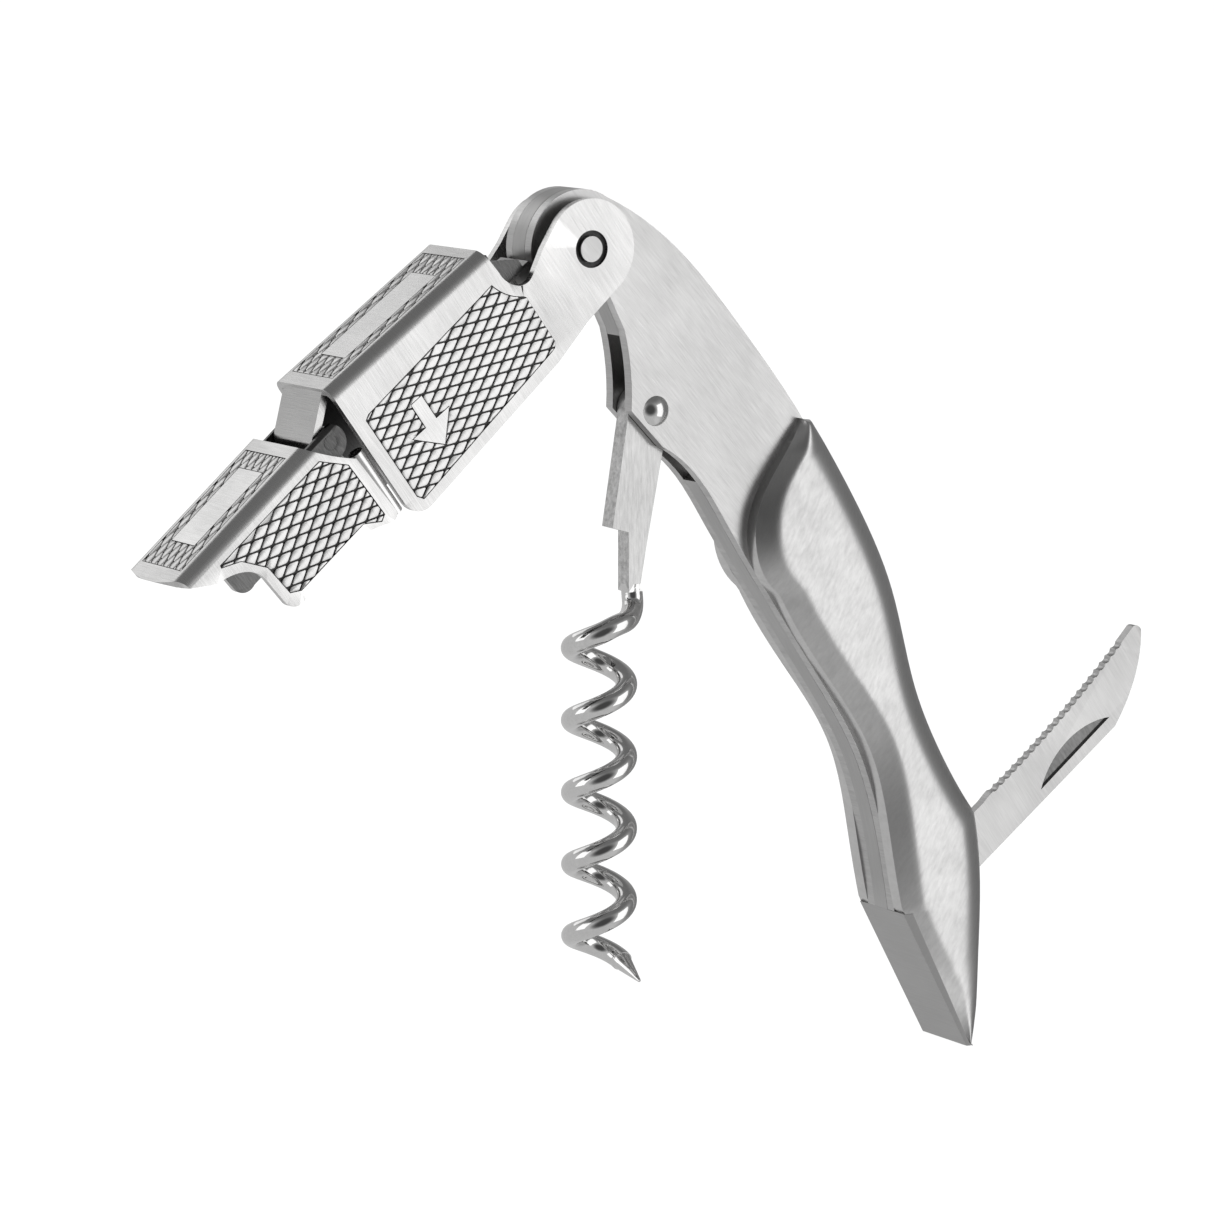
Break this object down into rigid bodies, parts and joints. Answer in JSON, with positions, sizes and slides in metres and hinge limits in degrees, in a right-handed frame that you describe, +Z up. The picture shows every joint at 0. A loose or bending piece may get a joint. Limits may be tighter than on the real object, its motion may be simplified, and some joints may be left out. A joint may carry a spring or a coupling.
{
  "type": "lever corkscrew",
  "caption": "Double-hinged waiter's corkscrew: layered steel handle, folding worm, two channel levers with bottle lips, and a serrated foil cutter.",
  "frame": {"origin": "under the middle of the tool's outline at its lowest point, with the handle's foot on the ground plane and the levers half open", "axes": "+Z up; +X from the levers' tip towards the blade; +Y across the handle's thickness, away from the front plate"},
  "size_m": [0.1498, 0.0136, 0.1153],
  "materials": {
    "plate_steel": "fine diagonal brushing",
    "scale_steel": "satin cast stainless",
    "lever_steel": "brushed, engraved knurling",
    "bright_steel": "polished",
    "dark_steel": "dark spring temper",
    "blade_steel": "fine satin, serrated edge",
    "pin_steel": "machined"
  },
  "bodies": {
    "handle": {"front_plate": "plate_steel", "rear_plate": "plate_steel", "nose_spacer": "plate_steel", "handle_spacer": "plate_steel", "end_block": "scale_steel", "front_scale": "scale_steel", "rear_scale": "scale_steel", "frame_rivets": "pin_steel", "scale_studs": "pin_steel", "lever_pivot_pin": "pin_steel", "pivot_washer_front": "dark_steel", "pivot_washer_rear": "dark_steel", "worm_rivet": "bright_steel", "blade_pin": "pin_steel", "blade_washer_front": "pin_steel", "blade_washer_rear": "pin_steel"},
    "first_lever": {"first_lever": "lever_steel", "spring_bracket": "dark_steel", "lever_spring": "dark_steel", "spring_rivet": "dark_steel"},
    "second_lever": {"second_lever": "lever_steel", "hinge_bracket": "dark_steel", "bracket_rivets": "dark_steel", "hinge_pin": "bright_steel"},
    "worm": {"worm": "bright_steel"},
    "blade": {"blade": "blade_steel"}
  },
  "joints": [
    {"name": "lever_swing", "type": "hinge", "parent": "handle", "child": "first_lever", "pos_m": [-0.01624, 0, 0.1081], "axis": [0, -1, 0], "range_deg": [-90, 75]},
    {"name": "second_lever_hinge", "type": "hinge", "parent": "first_lever", "child": "second_lever", "pos_m": [-0.05332, 0, 0.08684], "axis": [0, 1, 0], "range_deg": [0, 70]},
    {"name": "worm_fold", "type": "hinge", "parent": "handle", "child": "worm", "pos_m": [-0.00514, 0, 0.0873], "axis": [0, -1, 0], "range_deg": [-37, 30.8]},
    {"name": "blade_fold", "type": "hinge", "parent": "handle", "child": "blade", "pos_m": [0.04126, 0, 0.0221], "axis": [0, -1, 0], "range_deg": [-80, 73]}
  ],
  "couplings": [
    {"joint": "worm_fold", "follows": "lever_swing", "ratio": 0.41}
  ]
}
